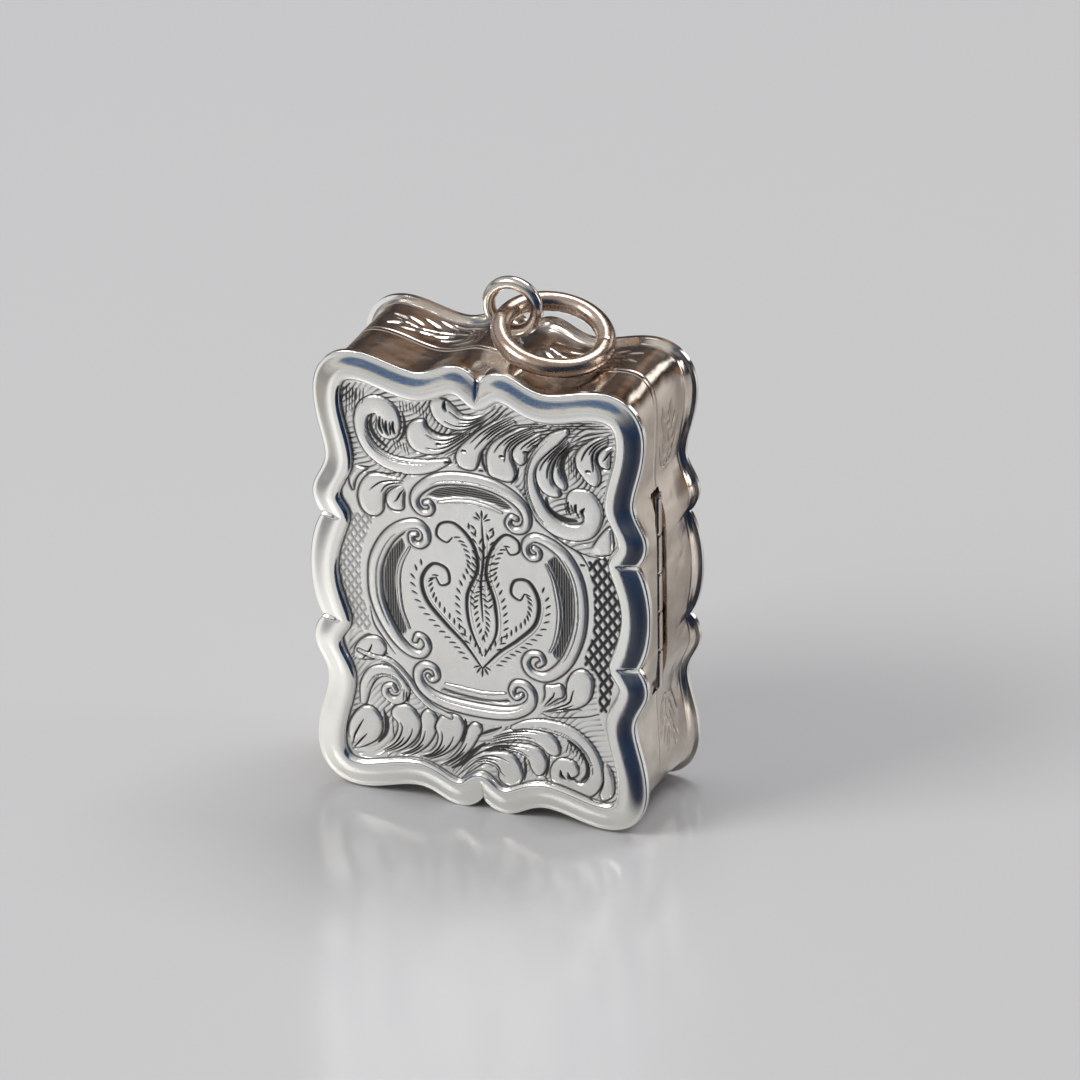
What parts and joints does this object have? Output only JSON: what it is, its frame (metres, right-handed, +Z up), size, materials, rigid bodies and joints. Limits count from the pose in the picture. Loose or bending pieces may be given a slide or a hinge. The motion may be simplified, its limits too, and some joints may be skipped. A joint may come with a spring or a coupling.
{
  "type": "vinaigrette",
  "caption": "Small silver case with a serpentine moulded border, a hinged engraved lid over a gilt pierced grille and a sponge, and a ring that swings in a wire eye on top.",
  "frame": {"origin": "under the middle of the case, on the surface that its lower short side stands on", "axes": "+Z up along the long side, from the lower short side to the one with the eye; +X to the hinge; the lid faces -Y"},
  "size_m": [0.0286, 0.012, 0.0428],
  "materials": {
    "bright_silver": "polished silver with soft wear",
    "silver": "plain silver, rubbed",
    "engraved_silver": "satin silver with darkened engraving",
    "toned_silver": "silver with a warm grey-brown tone",
    "gilt": "silver-gilt, satin",
    "sponge": "dry natural sponge"
  },
  "bodies": {
    "body": {"base_plate": "engraved_silver", "base_rim": "bright_silver", "body_wall": "toned_silver", "body_bezel": "silver", "body_hinge_bearer": "silver", "body_knuckle_lower": "silver", "body_knuckle_middle": "silver", "body_knuckle_upper": "silver", "hinge_pin": "silver", "suspension_eye": "bright_silver", "grille_lug_lower": "gilt", "grille_lug_upper": "gilt", "grille_pin": "gilt", "grille_rest": "gilt", "sponge": "sponge"},
    "lid": {"lid_plate": "engraved_silver", "lid_rim": "bright_silver", "lid_wall": "toned_silver", "lid_hinge_bearer": "silver", "lid_knuckle_lower": "silver", "lid_knuckle_upper": "silver", "lid_thumb_lip": "silver"},
    "grille": {"grille_plate": "gilt", "grille_knuckle": "gilt"},
    "ring": {"suspension_ring": "toned_silver"}
  },
  "joints": [
    {"name": "lid_hinge", "type": "hinge", "parent": "body", "child": "lid", "pos_m": [0.01275, -0.0005, 0.019], "axis": [0, 0, 1], "range_deg": [0, 108]},
    {"name": "grille_hinge", "type": "hinge", "parent": "body", "child": "grille", "pos_m": [0.01125, 0.00007, 0.019], "axis": [0, 0, 1], "range_deg": [0, 81]},
    {"name": "ring_swing", "type": "hinge", "parent": "body", "child": "ring", "pos_m": [-0.0002, 0.0017, 0.03982], "axis": [0, -1, 0], "range_deg": [0, 200]}
  ],
  "couplings": [
    {"joint": "grille_hinge", "follows": "lid_hinge", "ratio": 0.75}
  ]
}
